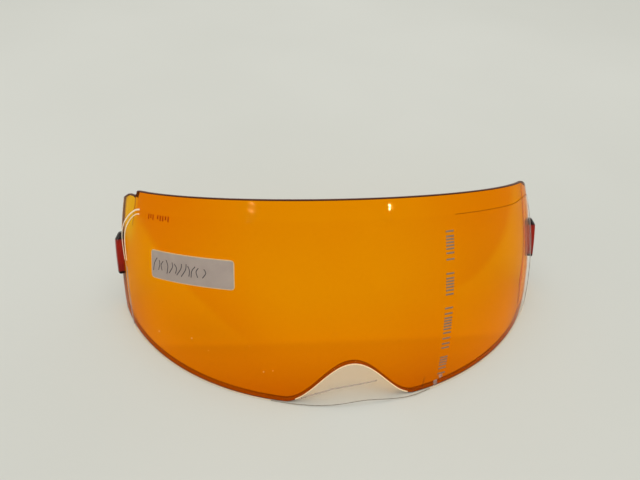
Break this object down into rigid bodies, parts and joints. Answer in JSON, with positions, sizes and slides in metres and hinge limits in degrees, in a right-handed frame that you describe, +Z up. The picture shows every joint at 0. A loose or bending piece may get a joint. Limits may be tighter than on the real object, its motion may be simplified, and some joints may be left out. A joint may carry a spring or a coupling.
{
  "type": "face shield lens",
  "caption": "Wraparound amber face shield lens with a nose notch, side mount lugs, a clear peel-off film with a loose corner and a small paper label.",
  "frame": {"origin": "middle of the footprint, on the surface that the lower rim stands on", "axes": "+Z up, the convex front faces -Y, +X is towards the right of the picture"},
  "size_m": [0.2224, 0.096, 0.0812],
  "materials": {
    "amber_lens": "clear polished tint",
    "red_lug": "polished",
    "clear_film": "clear film",
    "label_paper": "matt paper"
  },
  "bodies": {
    "shield": {"lens": "amber_lens", "left_mount_lug": "red_lug", "right_mount_lug": "red_lug"},
    "film": {"outer_film": "clear_film", "label": "label_paper"}
  },
  "joints": [
    {"name": "film_peel", "type": "slide", "parent": "shield", "child": "film", "axis": [0, -0.866, 0.5], "range_m": [0, 0.15]}
  ]
}
